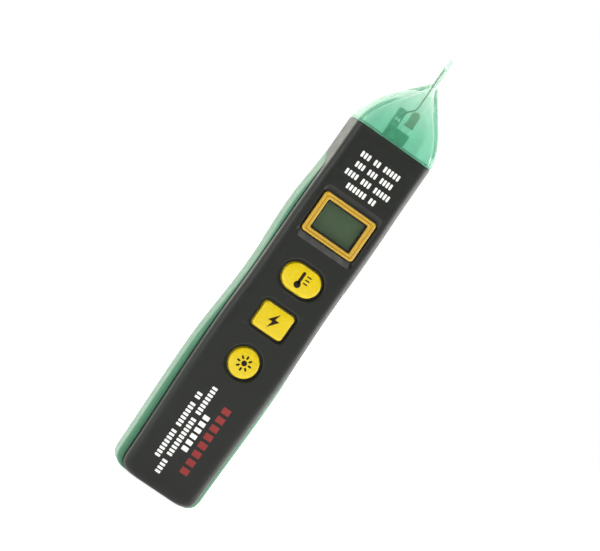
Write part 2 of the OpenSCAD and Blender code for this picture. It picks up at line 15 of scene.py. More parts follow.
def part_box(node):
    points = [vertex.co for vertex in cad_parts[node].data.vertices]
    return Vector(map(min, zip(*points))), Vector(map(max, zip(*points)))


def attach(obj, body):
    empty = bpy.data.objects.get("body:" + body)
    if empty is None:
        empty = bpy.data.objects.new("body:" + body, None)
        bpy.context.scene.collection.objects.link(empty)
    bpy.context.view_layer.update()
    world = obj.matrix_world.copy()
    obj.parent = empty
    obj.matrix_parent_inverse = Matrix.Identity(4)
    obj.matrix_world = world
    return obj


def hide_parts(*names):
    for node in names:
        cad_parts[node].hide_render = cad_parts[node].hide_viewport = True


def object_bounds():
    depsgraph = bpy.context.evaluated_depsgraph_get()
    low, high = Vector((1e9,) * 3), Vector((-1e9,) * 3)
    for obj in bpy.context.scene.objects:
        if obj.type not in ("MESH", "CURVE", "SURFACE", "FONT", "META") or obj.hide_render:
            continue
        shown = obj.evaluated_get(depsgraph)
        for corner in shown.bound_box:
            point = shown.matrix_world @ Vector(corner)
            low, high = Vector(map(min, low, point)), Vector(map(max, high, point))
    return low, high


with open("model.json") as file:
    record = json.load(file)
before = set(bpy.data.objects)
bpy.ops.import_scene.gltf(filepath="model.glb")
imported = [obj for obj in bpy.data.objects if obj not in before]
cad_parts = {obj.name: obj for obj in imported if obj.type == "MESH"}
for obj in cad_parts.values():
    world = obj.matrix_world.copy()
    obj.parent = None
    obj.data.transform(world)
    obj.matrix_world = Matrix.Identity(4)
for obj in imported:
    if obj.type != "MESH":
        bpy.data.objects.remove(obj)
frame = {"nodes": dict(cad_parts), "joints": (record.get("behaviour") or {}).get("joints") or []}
CAD_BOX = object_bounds()
MM = 0.001
HOUSING = "housing"


# ---------------- sizes, from the frame

def low(node):
    return np.array(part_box(node)[0]) / MM


def high(node):
    return np.array(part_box(node)[1]) / MM


def size(node):
    return high(node) - low(node)


def centre(node):
    return (high(node) + low(node)) / 2


FRONT_Y = low("front_shell")[1]
BACK_Y = high("front_shell")[1]
BODY_LEN = high("front_shell")[2]
GRIP_W = size("rear_shell")[0]
COLLAR_W = size("nose_cap")[0]
RIM_Y = low("rear_shell")[1]
LCD_Z = centre("lcd_frame")[2]
COVER_LOW, COVER_HIGH = low("battery_cover"), high("battery_cover")
TIP_TOP = high("nose_cap")[2]
HINGE_Z = [j for j in frame["joints"] if j["name"] == "battery_cover_hinge"][0]["pos_m"][2] / MM
KEYS = ("thermometer_key", "voltage_key", "light_key")

WALL = 1.8
TAIL_W = GRIP_W - 1.4
WAIST_W = GRIP_W - 3.2
DISPLAY_W = GRIP_W - 1.9
FRONT_W = COLLAR_W + 0.3
GRIP_Z, FRONT_GRIP_Z, WAIST_Z, DISPLAY_Z = 46, 58, 83, 106
SHOULDER_Z = BODY_LEN - 11
COLLAR = ((SHOULDER_Z, COLLAR_W), (BODY_LEN, COLLAR_W))
REAR_TURNS = ((0, TAIL_W), (GRIP_Z, GRIP_W), (WAIST_Z, WAIST_W), (DISPLAY_Z, DISPLAY_W)) + COLLAR
REAR_INNER_TURNS = REAR_TURNS[:3] + ((DISPLAY_Z, FRONT_W),) + COLLAR
FRONT_TURNS = ((0, FRONT_W - 1.5), (FRONT_GRIP_Z, FRONT_W + 0.9), (WAIST_Z, FRONT_W),
               (DISPLAY_Z, FRONT_W + 0.3)) + COLLAR
TAIL_CORNER = 4.5
TAIL_EDGE = 2.7
BACK_R = 6.0
TOP_EDGE = 0.35
FRONT_CORNER = (4.4, 3.4)
PART_Y = FRONT_Y + 8
SEAM = 0.16
SWEEP_Z0 = SHOULDER_Z - 9
SWEEP_Z1 = SHOULDER_Z + 3
SWEEP_END = BACK_Y + 5
LIP_ROUND = 2.3
LEDGE = 1.85
SCREWS = ((-11.3, 6), (11.3, 6), (-11.3, 69.5), (11.3, 69.5), (-10.5, 122), (10.5, 122))
SCREW_HEAD_T = 1.5
SCREW_SEAT = high("case_screws")[1] - SCREW_HEAD_T
COVER_T = 1.4
TRAY_WALL = 1.4
KEY_FLANGE = 1.2
FRAME_FLANGE = 0.9
VIEW_W, VIEW_H = 16.3, 11.4
TIP_R = 1.2
TIP_LEN = 12.2
TIP_Y = FRONT_Y + 4
NOSE_H = TIP_TOP - BODY_LEN - TIP_LEN
NOSE_WALL = 1.6
AERIAL_R = 0.3
CELL_R = 5.25


# ---------------- mesh helpers

def ease(t):
    return (1 - math.cos(math.pi * min(max(t, 0), 1))) / 2


def width_at(turns, z):
    """Width of a shell at height z, easing from one turning point to the next."""
    for (z0, w0), (z1, w1) in zip(turns, turns[1:]):
        if z <= z1:
            return w0 + (w1 - w0) * ease((z - z0) / (z1 - z0))
    return turns[-1][1]


def rounding(z, r):
    """How far an edge of radius r at the tail has drawn in at height z."""
    return 0 if z >= r else r - math.sqrt(r * r - (r - z) ** 2)


def mesh_object(name, verts, faces):
    mesh = bpy.data.meshes.new(name)
    mesh.from_pydata([tuple(float(c) for c in v) for v in verts], [], faces)
    mesh.validate()
    made = bmesh.new()
    made.from_mesh(mesh)
    bmesh.ops.recalc_face_normals(made, faces=made.faces)
    made.to_mesh(mesh)
    made.free()
    obj = bpy.data.objects.new(name, mesh)
    bpy.context.scene.collection.objects.link(obj)
    return obj


def ring_faces(rows, n, wrap=False):
    """Quads between rows of n points; with wrap, the last row joins the first."""
    return [(i * n + k, i * n + (k + 1) % n, (i + 1) % rows * n + (k + 1) % n, (i + 1) % rows * n + k)
            for i in range(rows if wrap else rows - 1) for k in range(n)]


def loft(name, rings):
    """A closed solid through rings of points."""
    rows, n = len(rings), len(rings[0])
    faces = ring_faces(rows, n)
    faces.append(tuple(range(n)))
    faces.append(tuple((rows - 1) * n + k for k in range(n)))
    return mesh_object(name, np.concatenate([np.asarray(r, float) for r in rings]), faces)


def hoop(name, rings):
    """A closed band: rings that lead back to the first one."""
    return mesh_object(name, np.concatenate(rings), ring_faces(len(rings), len(rings[0]), wrap=True))


def revolve(name, profile, origin, axis="z", sides=48):
    """Turns a profile of (radius, height) round an axis through origin; a closed profile makes a ring."""
    closed = np.allclose(profile[0], profile[-1])
    points = profile[:-1] if closed else profile
    rings = []
    for r, h in points:
        a = np.arange(sides) * 2 * math.pi / sides
        flat = (r * np.cos(a), r * np.sin(a), np.full(sides, float(h)))
        if axis == "y":
            flat = (flat[0], flat[2], flat[1])
        rings.append(np.stack(flat, 1) + np.asarray(origin, float))
    return hoop(name, rings) if closed else loft(name, rings)


def sweep(name, path, radius, sides=10):
    """A round wire along a path."""
    path = np.asarray(path, float)
    tangents = np.gradient(path, axis=0)
    tangents /= np.linalg.norm(tangents, axis=1)[:, None]
    side = np.cross(tangents[0], (0.31, 0.85, 0.42))
    rings = []
    a = np.arange(sides) * 2 * math.pi / sides
    for p, t in zip(path, tangents):
        side = side - t * side.dot(t)
        side /= np.linalg.norm(side)
        other = np.cross(t, side)
        rings.append(p + radius * (np.cos(a)[:, None] * side + np.sin(a)[:, None] * other))
    return loft(name, rings)


def smooth_path(points, steps=12):
    """A Catmull-Rom curve through the points."""
    pts = [np.asarray(p, float) for p in points]
    pts = [2 * pts[0] - pts[1]] + pts + [2 * pts[-1] - pts[-2]]
    out = []
    for a, b, c, d in zip(pts, pts[1:], pts[2:], pts[3:]):
        for t in np.arange(steps) / steps:
            out.append(0.5 * (2 * b + (c - a) * t + (2 * a - 5 * b + 4 * c - d) * t ** 2
                              + (3 * b - a - 3 * c + d) * t ** 3))
    out.append(pts[-2])
    return out


def combine(obj, tool, how="DIFFERENCE"):
    """Applies a boolean with another object, which is then removed."""
    mod = obj.modifiers.new("cut", "BOOLEAN")
    mod.operation = how
    mod.solver = "MANIFOLD"
    mod.object = tool
    done = bpy.data.meshes.new_from_object(obj.evaluated_get(bpy.context.evaluated_depsgraph_get()))
    obj.modifiers.clear()
    obj.data = done
    bpy.data.objects.remove(tool)
    return obj


def place(obj, material, *stands_for, body=HOUSING, sharp=38):
    """Turns a finished shape into metres, gives it its material and hangs it on its body."""
    obj.data.transform(Matrix.Scale(MM, 4))
    obj.data.materials.clear()
    obj.data.materials.append(material)
    obj.data.polygons.foreach_set("use_smooth", [True] * len(obj.data.polygons))
    obj.data.set_sharp_from_angle(angle=math.radians(sharp))
    weights = obj.modifiers.new("normals", "WEIGHTED_NORMAL")
    weights.keep_sharp = True
    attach(obj, body)
    if stands_for:
        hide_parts(*stands_for)
    return obj


# ---------------- outlines

def arc(cx, cy, a, b, start, n, turn=90):
    """n points of an ellipse with half axes a and b, from start on, in degrees."""
    angles = np.radians(start + np.linspace(0, turn, n))
    return [(cx + a * math.cos(t), cy + b * math.sin(t)) for t in angles]


def section(w, y0, y1, front, back, n=12):
    """Half width w, from y0 at the front to y1 at the back, with elliptical front and round back corners."""
    a, b = front
    return (arc(w - back, y1 - back, back, back, 0, n) + arc(-w + back, y1 - back, back, back, 90, n)
            + arc(-w + a, y0 + b, a, b, 180, n) + arc(w - a, y0 + b, a, b, 270, n))


def at_height(points, z):
    return np.array([(x, y, z) for x, y in points])


def rounded(w, h, r, n=8):
    """Rounded rectangle in the front view, as (x, z)."""
    return section(w / 2, -h / 2, h / 2, (r, r), r, n)


def facing(points, y, z=0.0, x=0.0):
    """Stands a front-view outline up at depth y."""
    return np.array([(px + x, y, pz + z) for px, pz in points])


def slab(name, outline, y0, y1, z=0.0, x=0.0):
    return loft(name, [facing(outline, y0, z, x), facing(outline, y1, z, x)])


def block(name, x0, x1, y0, y1, z0, z1, r):
    """A block with rounded edges: corners of radius r in the front view, and eased rims."""
    rings = []
    for y, d in ((y0, r * 0.5), (y0 + r * 0.5, 0), (y1 - r * 0.5, 0), (y1, r * 0.5)):
        rings.append(facing(rounded(x1 - x0 - 2 * d, z1 - z0 - 2 * d, r, 4), y, (z0 + z1) / 2, (x0 + x1) / 2))
    return loft(name, rings)


def prism_across(name, outline, half=40):
    """A solid right across the body from a side-view outline (y, z)."""
    return loft(name, [np.array([(m * half, y, z) for y, z in outline]) for m in (-1, 1)])


# ---------------- materials

class Shader:
    """The node tree of a material or world, with short calls for the nodes that the looks share."""

    def __init__(self, owner):
        owner.use_nodes = True
        self.owner = owner
        self.nodes, self.links = owner.node_tree.nodes, owner.node_tree.links
        self.main = self.nodes.get("Principled BSDF") or self.nodes.get("Background")
        self.coords = self.nodes.new("ShaderNodeTexCoord").outputs

    def feed(self, socket, value):
        """Links another node's output to a socket, or sets the socket to a plain value."""
        if isinstance(value, bpy.types.NodeSocket):
            self.links.new(value, socket)
        elif socket.type == "RGBA":
            socket.default_value = (*value, 1)
        else:
            socket.default_value = value

    def set(self, inputs):
        """Sets or links inputs of the main shader."""
        for key, value in inputs.items():
            self.feed(self.main.inputs[key], value)

    def add(self, kind, inputs=(), **settings):
        """A new shader node, with settings first and then its inputs."""
        made = self.nodes.new("ShaderNode" + kind)
        for key, value in settings.items():
            setattr(made, key, value)
        for key, value in dict(inputs).items():
            self.feed(made.inputs[key], value)
        return made

    def stretched(self, scale, location=(0, 0, 0), rotation=(0, 0, 0)):
        """Object coordinates, scaled, moved and turned."""
        inputs = {"Vector": self.coords["Object"], "Scale": scale, "Location": location, "Rotation": rotation}
        return self.add("Mapping", inputs).outputs["Vector"]

    def noise(self, scale, detail=3.0, roughness=0.55, at=None):
        at = at or self.coords["Object"]
        inputs = {"Vector": at, "Scale": scale, "Detail": detail, "Roughness": roughness}
        return self.add("TexNoise", inputs).outputs["Fac"]

    def ramp(self, source, start, stop, first=0.0, last=1.0, **settings):
        """Maps start..stop of a source onto first..last."""
        inputs = {"Value": source, "From Min": start, "From Max": stop, "To Min": first, "To Max": last}
        return self.add("MapRange", inputs, **settings).outputs["Result"]

    def spread(self, source, middle, swing):
        """Maps a noise's middle range onto values that swing by a share of the middle one."""
        return self.ramp(source, 0.3, 0.7, middle * (1 - swing), middle * (1 + swing))

    def blend(self, factor, first, second, **settings):
        inputs = {"Factor": factor, "A": first, "B": second}
        return self.add("Mix", inputs, data_type="RGBA", **settings).outputs["Result"]

    def mix(self, factor, first, second):
        return self.add("MixShader", {"Fac": factor, 1: first, 2: second}).outputs[0]

    def bump(self, source, strength, depth):
        inputs = {"Height": source, "Strength": strength, "Distance": depth * MM}
        self.set({"Normal": self.add("Bump", inputs).outputs["Normal"]})

    def show(self, shader):
        output = self.nodes.get("Material Output") or self.nodes.get("World Output")
        self.links.new(shader, output.inputs["Surface"])


def shaded(colour, factor):
    """A colour made darker or lighter."""
    return [min(c * factor, 1) for c in colour]


def moulded(name, colour, roughness, variation=0.12, grain=0.012, grain_scale=4200, coat=0.0,
            worn=None, subsurface=0.0, specular=0.5):
    """Moulded plastic: cloudy colour, uneven gloss, a fine spark-eroded grain and paler worn edges."""
    look = Shader(bpy.data.materials.new(name))
    cloud_scale, smudge_scale = 160, 420
    shade = look.blend(look.noise(cloud_scale), shaded(colour, 1 - variation), shaded(colour, 1 + variation))
    if worn:
        pointed = look.add("NewGeometry").outputs["Pointiness"]
        shade = look.blend(look.ramp(pointed, 0.52, 0.60, last=0.5), shade, worn)
    gloss = look.ramp(look.noise(smudge_scale, detail=4), 0.3, 0.7, roughness * 0.86, roughness * 1.16)
    look.set({"Base Color": shade, "Roughness": gloss, "Specular IOR Level": specular,
              "Coat Weight": coat, "Coat Roughness": 0.12})
    look.bump(look.noise(grain_scale, detail=2), 0.35, grain)
    if subsurface:
        look.set({"Subsurface Weight": subsurface, "Subsurface Radius": (0.8, 0.6, 0.2),
                  "Subsurface Scale": 0.6 * MM})
    return look.owner


def metal(name, colour, roughness, scratch=900):
    """Plated metal with drawn streaks and a cloudy tarnish."""
    look = Shader(bpy.data.materials.new(name))
    tarnish_scale = 700
    tint = look.blend(look.noise(tarnish_scale, detail=4), shaded(colour, 0.78), colour)
    streaks = look.noise(scratch, roughness=0.5, at=look.stretched((1, 1, 12)))
    look.set({"Base Color": tint, "Roughness": look.spread(streaks, roughness, 0.3), "Metallic": 1})
    look.bump(streaks, 0.2, 0.01)
    return look.owner


def paling(look, reach):
    """From 0 to 1 with the distance from the middle of the nose's base, depth left aside; it sets the nose's
    painted paleness.
    """
    flat = look.stretched((0.8, 0, 1), location=(0, 0, -BODY_LEN * MM))
    far = look.add("VectorMath", {0: flat}, operation="LENGTH").outputs["Value"]
    return look.ramp(far, reach[0] * MM, reach[1] * MM, interpolation_type="SMOOTHSTEP")


def clear(name, colour, roughness, haze, haze_colour, coat=0.0, streaky=0.03, pale=None, pale_haze=None,
          reach=None):
    """Tinted see-through plastic: clear refraction mixed with a milky part, and light passes for shadows.
    Given pale, the tint and haze are painted paler away from the nose's base, as painted light.
    """
    look = Shader(bpy.data.materials.new(name))
    flow_scale, streak_scale = 220, 330
    flow = look.noise(flow_scale, detail=2)
    streaks = look.noise(streak_scale, detail=2, roughness=0.5, at=look.stretched((1, 1, 0.1)))
    streak = look.ramp(streaks, 0.3, 0.7)
    tint = look.blend(streak, shaded(colour, 1 - streaky), colour)
    # Painted light: tint and haze turn paler towards the nose's tip and sides, though the plastic is the same
    # colour all over.
    if pale:
        far = paling(look, reach)
        tint = look.blend(far, tint, look.blend(streak, shaded(pale, 1 - streaky), pale))
        haze_colour = look.blend(far, haze_colour, pale_haze)
    look.set({"Base Color": tint, "Roughness": look.spread(flow, roughness, 0.2), "IOR": 1.35,
              "Transmission Weight": 1, "Coat Weight": coat, "Coat Roughness": 0.22})
    look.bump(flow, 0.3, 0.02)
    milk = look.mix(0.5, look.add("BsdfTranslucent", {"Color": haze_colour}).outputs[0],
                    look.add("BsdfDiffuse", {"Color": haze_colour}).outputs[0])
    hazy = look.mix(look.spread(flow, haze, 0.2), look.main.outputs[0], milk)
    passing = look.add("BsdfTransparent", {"Color": [0.5 + c / 2 for c in colour]})
    shadow = look.add("LightPath").outputs["Is Shadow Ray"]
    look.show(look.mix(shadow, hazy, passing.outputs[0]))
    return look.owner


def window_pane():
    """Flat clear pane: light goes straight through, with a faint reflection that fine scratches break up."""
    look = Shader(bpy.data.materials.new("clear_window"))
    scratches = look.noise(900, detail=4)
    look.set({"Base Color": look.blend(scratches, (0.02, 0.03, 0.02), (0.04, 0.05, 0.04)),
              "Roughness": look.ramp(scratches, 0.3, 0.7, 0.04, 0.10)})
    through = look.add("BsdfTransparent", {"Color": (0.97, 0.985, 0.97)})
    look.show(look.mix(0.12, through.outputs[0], look.main.outputs[0]))
    return look.owner


def display_glass():
    """The reflective display: grey-green, with its faint electrode grid."""
    look = Shader(bpy.data.materials.new("lcd_glass"))
    tint = look.blend(look.noise(90, detail=2), (0.068, 0.114, 0.058), (0.092, 0.140, 0.078))
    upright = look.stretched((1, 1, 1), rotation=(math.radians(90), 0, 0))
    grid = look.add("TexBrick", {"Vector": upright, "Scale": 1100, "Mortar Size": 0.02, "Color1": (1, 1, 1),
                                 "Color2": (0.97, 0.98, 0.97), "Mortar": (0.93, 0.94, 0.93)})
    lined = look.blend(1, tint, grid.outputs["Color"], blend_type="MULTIPLY")
    look.set({"Base Color": lined, "Roughness": 0.35})
    return look.owner


def board_mask():
    """Green solder mask over copper tracks, which show as paler lines."""
    look = Shader(bpy.data.materials.new("board"))
    maze = look.add("TexVoronoi", {"Vector": look.coords["Object"], "Scale": 420},
                    feature="DISTANCE_TO_EDGE", distance="CHEBYCHEV")
    tracks = look.ramp(maze.outputs["Distance"], 0.02, 0.05)
    look.set({"Base Color": look.blend(tracks, (0.05, 0.22, 0.10), (0.015, 0.12, 0.05)), "Roughness": 0.32})
    look.bump(tracks, 0.4, 0.03)
    return look.owner


BLACK = moulded("black_shell", (0.0075, 0.0088, 0.0066), 0.36, grain=0.02, worn=(0.022, 0.023, 0.021),
                specular=0.33)
GREEN = moulded("green_shell", (0.036, 0.180, 0.092), 0.34, grain=0.016, grain_scale=3600,
                worn=(0.08, 0.27, 0.16))
# The cover's and keys' long triangles would show worn edges as streaks, so these have none.
COVER = moulded("green_cover", (0.036, 0.180, 0.092), 0.34, grain=0.016, grain_scale=3600)
# The nose's pale colours paint a lighter tint towards its tip and sides: painted light.
NOSE = clear("clear_green", (0.53, 0.805, 0.70), 0.06, 0.20, (0.18, 0.56, 0.39), coat=0.15, streaky=0.2,
             pale=(0.955, 0.98, 0.95), pale_haze=(0.52, 0.74, 0.61), reach=(3, 26))
AMBER = moulded("amber_frame", (0.50, 0.295, 0.011), 0.24, variation=0.03, grain=0.006, coat=0.25)
WINDOW = window_pane()
LCD = display_glass()
GUIDE = moulded("light_guide", (0.80, 0.83, 0.80), 0.3, variation=0.03, subsurface=0.4)
ELASTOMER = moulded("pink_elastomer", (0.50, 0.30, 0.35), 0.6)
YELLOW = moulded("yellow_key", (0.64, 0.475, 0.002), 0.26, variation=0.04, grain=0.006, coat=0.05,
                 subsurface=0.08, specular=0.35)
# Flat black for the sheet behind the window's edge: painted shade inside the display frame.
SHADE_BLACK = moulded("painted_shade_black", (0.006, 0.006, 0.007), 0.4, variation=0.2)
INK_DARK = moulded("dark_ink", (0.016, 0.007, 0.002), 0.55, variation=0.25, specular=0.18)
INK_WHITE = moulded("white_ink", (0.80, 0.80, 0.78), 0.5, variation=0.06)
INK_RED = moulded("red_ink", (0.23, 0.011, 0.010), 0.5, variation=0.12)
DARK_PART = moulded("black_part", (0.016, 0.016, 0.018), 0.5)
BOARD = board_mask()
LED = clear("led_body", (0.50, 0.38, 0.24), 0.15, 0.8, (0.20, 0.13, 0.06))
TIN = metal("tinned_metal", (0.66, 0.67, 0.68), 0.26)
WIRE = moulded("wire_enamel", (0.045, 0.030, 0.022), 0.3, coat=0.3)
HOLDER = moulded("green_block", (0.010, 0.16, 0.075), 0.45)
CERAMIC = moulded("ceramic", (0.42, 0.28, 0.15), 0.5, variation=0.2)
DARK_LENS = moulded("dark_lens", (0.018, 0.012, 0.016), 0.08, grain=0.002, coat=0.8)
SPRING = metal("spring_steel", (0.60, 0.60, 0.62), 0.22, scratch=1500)
JACKET = moulded("cell_jacket", (0.040, 0.045, 0.050), 0.28, coat=0.4)
BAND = moulded("cell_band", (0.62, 0.34, 0.05), 0.25, variation=0.05, coat=0.4)
STEEL = metal("screw_steel", (0.52, 0.53, 0.55), 0.3)


# ---------------- shells

def lip_y(z):
    """Where the rear shell's front lip runs: near the front, then sweeping to the back below the collar."""
    return RIM_Y + (SWEEP_END - RIM_Y) * ease((z - SWEEP_Z0) / (SWEEP_Z1 - SWEEP_Z0))


def front_ring(z, inset=0.0):
    """The front shell's section at height z; the outside one has a small bevel at the very top."""
    w = width_at(FRONT_TURNS, z) / 2 - inset - rounding(z - inset, max(TAIL_CORNER - inset, 0.5))
    drawn = rounding(z - inset, max(TAIL_EDGE - inset, 0.5))
    bevel = max(0, z - BODY_LEN + TOP_EDGE) if inset == 0 else 0
    a, b = FRONT_CORNER
    return at_height(section(w - bevel, FRONT_Y + inset + drawn + bevel, BACK_Y - inset - drawn - bevel,
                             (a - inset, b - inset), BACK_R - inset), z)


def heights(start, stop, r, step=2.0):
    """Heights of rings: close together round the tail's edge, then even."""
    curve = [start + r * (1 - math.cos(math.radians(t))) for t in range(0, 90, 9)]
    return curve + list(np.arange(start + r, stop - step * 0.4, step)) + [stop]


def front_zone():
    """Everything in front of the line where the shells meet."""
    line = [(max(PART_Y, lip_y(z) - SEAM), z) for z in np.arange(SWEEP_Z0, SWEEP_Z1 + 0.1, 0.5)]
    return prism_across("zone", [(-40, -2), (PART_Y, -2)] + line + [(SWEEP_END, 160), (-40, 160)])


def key_outline(name, grow):
    """Front-view outline of a key's cap, grown all round."""
    w, _, h = size(name) + 2 * (grow - KEY_FLANGE)
    corner = {"thermometer_key": h / 2 - 0.02, "voltage_key": 1.4 + grow, "light_key": h / 2 - 0.01}[name]
    return rounded(w, h, max(corner, 0.15), 14)


def key_socket(name):
    """Cutter for a key's hole, with a rounded step at the surface."""
    z = centre(name)[2]
    steps = [(FRONT_Y - 1, 1.8), (FRONT_Y, 1.62), (FRONT_Y + 0.12, 1.2), (FRONT_Y + 0.4, 0.95),
             (FRONT_Y + 1.5, 0.9), (FRONT_Y + 1.51, 0.25), (FRONT_Y + 3, 0.25)]
    return loft("socket", [facing(key_outline(name, grow), y, z) for y, grow in steps])


def display_recess():
    """Cutter for the pad round the display: a plain slope below the frame and a faint one above."""
    w = size("lcd_frame")[0] - 0.1
    steps = ((-1, 1.0, -11.2, 11.2), (0, 0.35, -10.4, 10.3), (0.1, 0.15, -10.2, 10.1),
             (0.75, -0.6, -8.2, 8.9), (0.8, -0.8, -8.0, 8.7))
    rings = []
    for depth, grow, below, above in steps:
        outline = rounded(w + 2 * grow, above - below, 1.7 + grow, 8)
        rings.append(facing(outline, FRONT_Y + depth, LCD_Z + (below + above) / 2))
    return loft("recess", rings)


def make_front_shell():
    levels = heights(0, BODY_LEN - TOP_EDGE, TAIL_EDGE) + [BODY_LEN - 0.1, BODY_LEN]
    shell = loft("front_shell_looks", [front_ring(z) for z in levels])
    combine(shell, front_zone(), "INTERSECT")
    cavity = [front_ring(z, WALL) for z in heights(WALL, BODY_LEN, TAIL_EDGE - WALL, 4.0)]
    combine(shell, loft("cavity", cavity + [cavity[-1] + (0, 0, 1)]))
    for name in KEYS:
        combine(shell, key_socket(name))
    combine(shell, display_recess())
    w, _, h = size("lcd_frame") - 2 * FRAME_FLANGE + 0.2
    combine(shell, slab("opening", rounded(w, h, 1.3), FRONT_Y - 1, FRONT_Y + 3, LCD_Z))
    boss = [(2.3, -9.9), (2.3, 0.3), (2.2, 0.4), (1.0, 0.4), (1.0, -5.6)]
    for x, z in SCREWS:
        combine(shell, revolve("boss", boss, (x, 0, z), axis="y"), "UNION")
    return place(shell, BLACK, "front_shell", sharp=14)


def rear_half(z, count=40):
    """Right half of the rear shell's section, from its front lip round to the middle of the back.

    Points are set out by their distance from the lip, along the side, round the back corner and over
    the back. Near the lip they draw in, so that the lip is round and ends at the front shell.
    """
    w = width_at(REAR_TURNS, z) / 2 - rounding(z, TAIL_CORNER)
    groove = width_at(FRONT_TURNS, z) / 2 - rounding(z, TAIL_CORNER) + SEAM
    back = BACK_Y - rounding(z, TAIL_EDGE)
    r = BACK_R - rounding(z, TAIL_EDGE)
    edge = lip_y(z)
    turn = math.pi / 2 if edge <= back - r else math.acos((edge - back + r) / r)
    flat, bend = w - r, r * turn
    total = flat + bend + max(back - r - edge, 0)
    points = []
    for j in range(count + 1):
        from_lip = total * (j / count) ** 1.8
        s = total - from_lip
        if s <= flat:
            point, outward = np.array((s, back)), np.array((0, 1))
        elif s <= flat + bend:
            t = (s - flat) / r
            outward = np.array((math.sin(t), math.cos(t)))
            point = np.array((flat, back - r)) + r * outward
        else:
            point, outward = np.array((w, back - r - (s - flat - bend))), np.array((1, 0))
        rise = math.sqrt(1 - (1 - min(from_lip / LIP_ROUND, 1)) ** 2)
        points.append(point - outward * max(w - groove, 0.2) * (1 - rise))
    return points


def rear_ring(z):
    right = rear_half(z)
    x, edge = right[0]
    inner = max(PART_Y, edge) + SEAM
    loop = [(0, inner), (x, inner)] + [tuple(p) for p in right] + [(-p[0], p[1]) for p in right[-2::-1]]
    return at_height(loop + [(-x, inner)], z)


def rear_top():
    """Height at which the rear shell's lip has reached the back."""
    z = SWEEP_Z0
    while lip_y(z) < BACK_Y - 0.9:
        z += 0.25
    return z


def rear_cavity(turns, y0, y1, corner):
    """Cutter for the inside of the rear shell, from depth y0 to y1."""
    rings = []
    for z in heights(WALL, BODY_LEN, 1.0, 4.0):
        w = width_at(turns, z) / 2 - WALL - rounding(z - WALL, TAIL_CORNER - WALL)
        rings.append(at_height(section(w, y0, y1, (0.4, 0.4), corner), z))
    return loft("cavity", rings)


def add_screw_posts(shell):
    """Hollow posts that the case screws go through, with a countersunk rim in the back."""
    post = [(2.65, 0.65), (2.65, BACK_Y - WALL + 0.4)]
    hole = [(1.15, 0), (1.15, SCREW_SEAT), (2.1, SCREW_SEAT), (2.1, BACK_Y - 0.45), (2.5, BACK_Y + 0.05),
            (2.5, BACK_Y + 1)]
    for x, z in SCREWS:
        combine(shell, revolve("post", post, (x, 0, z), axis="y"), "UNION")
        combine(shell, revolve("hole", hole, (x, 0, z), axis="y"))


def make_rear_shell():
    levels = heights(0, SWEEP_Z0, TAIL_EDGE) + list(np.arange(SWEEP_Z0 + 0.5, rear_top(), 0.5))
    shell = loft("rear_shell_looks", [rear_ring(z) for z in levels])
    combine(shell, rear_cavity(REAR_INNER_TURNS, PART_Y + LEDGE, BACK_Y - WALL, BACK_R - WALL))
    combine(shell, rear_cavity(FRONT_TURNS, PART_Y - 1, PART_Y + LEDGE + 1, 0.4))
    add_screw_posts(shell)
    cut_cover_opening(shell)
    x, y, _ = centre("ir_tube")
    mouth = [(4.45, -1), (4.45, -0.02), (4.1, 0.35), (4.1, WALL + 1)]
    combine(shell, revolve("mouth", mouth, (x, y, 0)))
    return place(shell, GREEN, "rear_shell")


def cut_cover_opening(shell):
    w, z0, z1 = size("battery_cover")[0], COVER_LOW[2], HINGE_Z
    mid = (z0 + z1) / 2
    rebate = [facing(rounded(w + 0.3 + 2 * grow, z1 - z0 + 0.3 + 2 * grow, 1.3 + grow, 6), y, mid)
              for y, grow in ((BACK_Y - 1.45, 0), (BACK_Y - 0.3, 0), (BACK_Y, 0.22), (BACK_Y + 1, 0.5))]
    combine(shell, loft("rebate", rebate))
    box = low("battery_left")[0], high("battery_right")[0]
    combine(shell, block("well", box[0] - 0.2, box[1] + 0.2, 7.5, BACK_Y, z0 + 3.8, z1 + 0.15, 0.2))


def make_tray():
    """The walls round the cells, seen when the cover is open; part of the rear moulding."""
    x0, x1 = low("battery_left")[0] - 0.35, high("battery_right")[0] + 0.35
    z0, z1 = low("link_contact")[2], high("positive_contact")[2]
    floor_y, top = -2.35, BACK_Y - WALL + 0.1
    tray = block("battery_tray", x0 - 1, x1 + 1, floor_y, floor_y + 1, z0 - TRAY_WALL, z1 + TRAY_WALL, 0.2)
    for a, b in ((x0 - 1.5, x0), (x1, x1 + 1.5)):
        combine(tray, block("side", a, b, floor_y, top, z0 - TRAY_WALL, z1 + TRAY_WALL, 0.2), "UNION")
    for a, b in ((z0 - TRAY_WALL, z0 - 0.02), (z1 + 0.02, z1 + TRAY_WALL)):
        combine(tray, block("end", x0 - 0.4, x1 + 0.4, floor_y, 7.4, a, b, 0.2), "UNION")
    for contact in ("positive_contact", "negative_contact"):
        x = centre(contact)[0]
        combine(tray, block("slot", x - 1.3, x + 1.3, floor_y - 1, 0, z1 - 0.6, z1 + 0.1, 0.1))
    return place(tray, GREEN)


